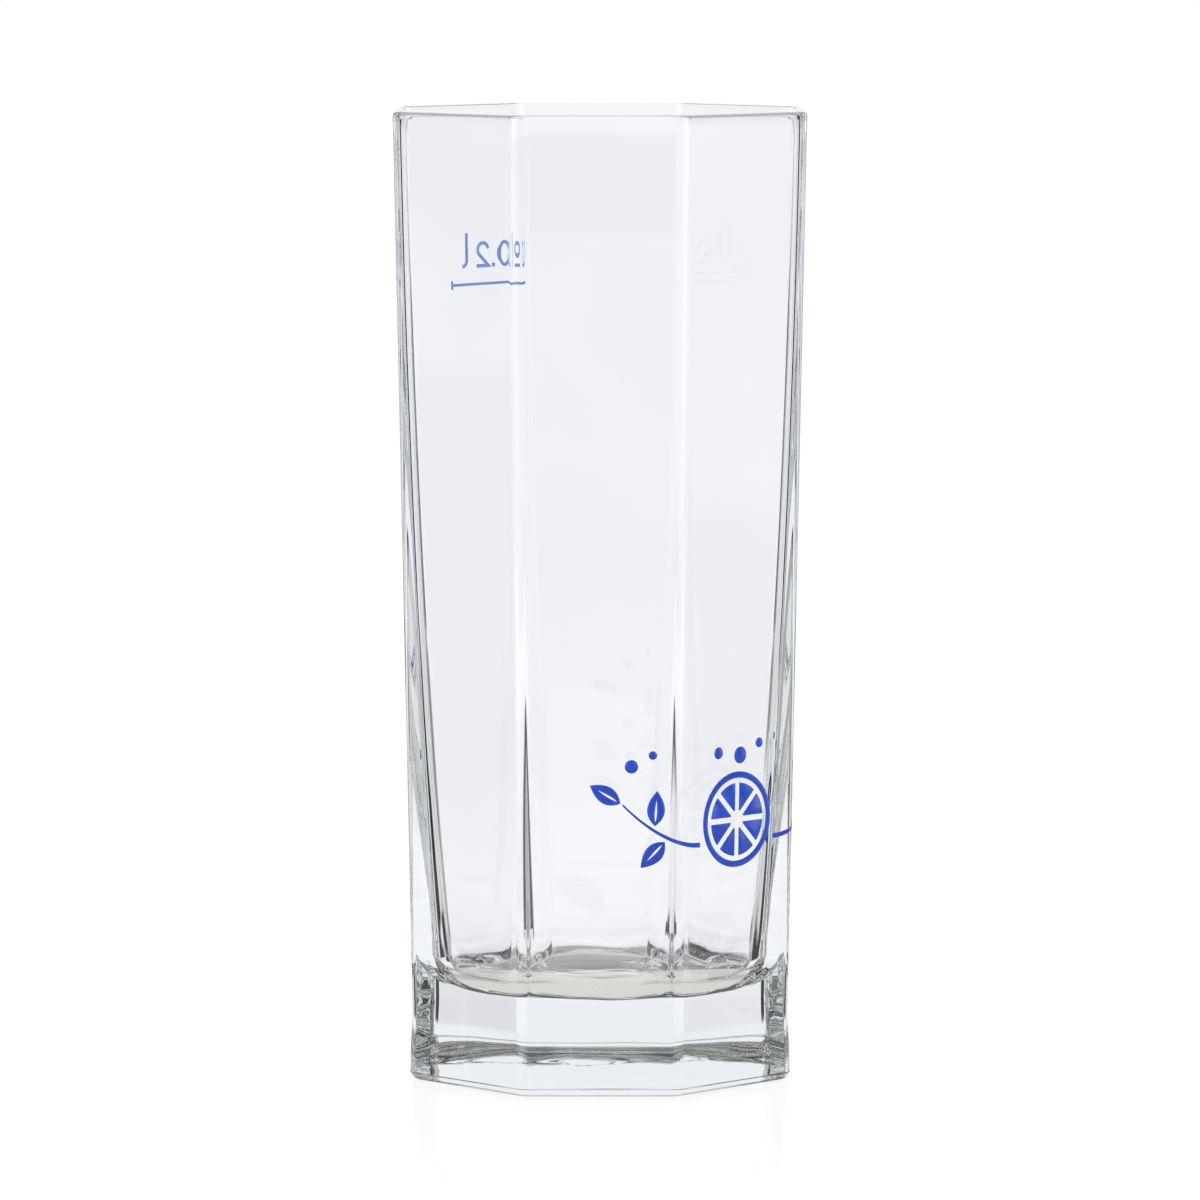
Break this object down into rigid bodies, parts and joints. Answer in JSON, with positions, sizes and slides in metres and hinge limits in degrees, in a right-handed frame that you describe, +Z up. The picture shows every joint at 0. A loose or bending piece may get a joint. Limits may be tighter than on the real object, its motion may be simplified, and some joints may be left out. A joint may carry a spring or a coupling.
{
  "type": "long drink glass",
  "caption": "Tall eight-sided clear tumbler with a heavy base, a rounded rim, a blue fill mark and a blue fruit design",
  "frame": {"origin": "middle of the foot, on the plane the glass stands on", "axes": "+Z up along the glass, -Y out of the front facet, +X to the right of the front facet"},
  "size_m": [0.0584, 0.0584, 0.138],
  "materials": {
    "clear_glass": "polished",
    "blue_enamel": "glossy"
  },
  "bodies": {
    "root": {"glass_body": "clear_glass", "fill_line": "blue_enamel", "figure_zero": "blue_enamel", "figure_point": "blue_enamel", "figure_two": "blue_enamel", "litre_letter": "blue_enamel", "fruit_rind": "blue_enamel", "fruit_segment_1": "blue_enamel", "fruit_segment_2": "blue_enamel", "fruit_segment_3": "blue_enamel", "fruit_segment_4": "blue_enamel", "fruit_segment_5": "blue_enamel", "fruit_segment_6": "blue_enamel", "fruit_segment_7": "blue_enamel", "fruit_segment_8": "blue_enamel", "left_stem": "blue_enamel", "right_stem": "blue_enamel", "left_leaf_1": "blue_enamel", "left_leaf_2": "blue_enamel", "left_leaf_3": "blue_enamel", "right_leaf_1": "blue_enamel", "right_leaf_2": "blue_enamel", "right_leaf_3": "blue_enamel", "bubble_1": "blue_enamel", "bubble_2": "blue_enamel", "bubble_3": "blue_enamel", "bubble_4": "blue_enamel", "bubble_5": "blue_enamel", "bubble_6": "blue_enamel", "bubble_7": "blue_enamel"}
  },
  "joints": []
}
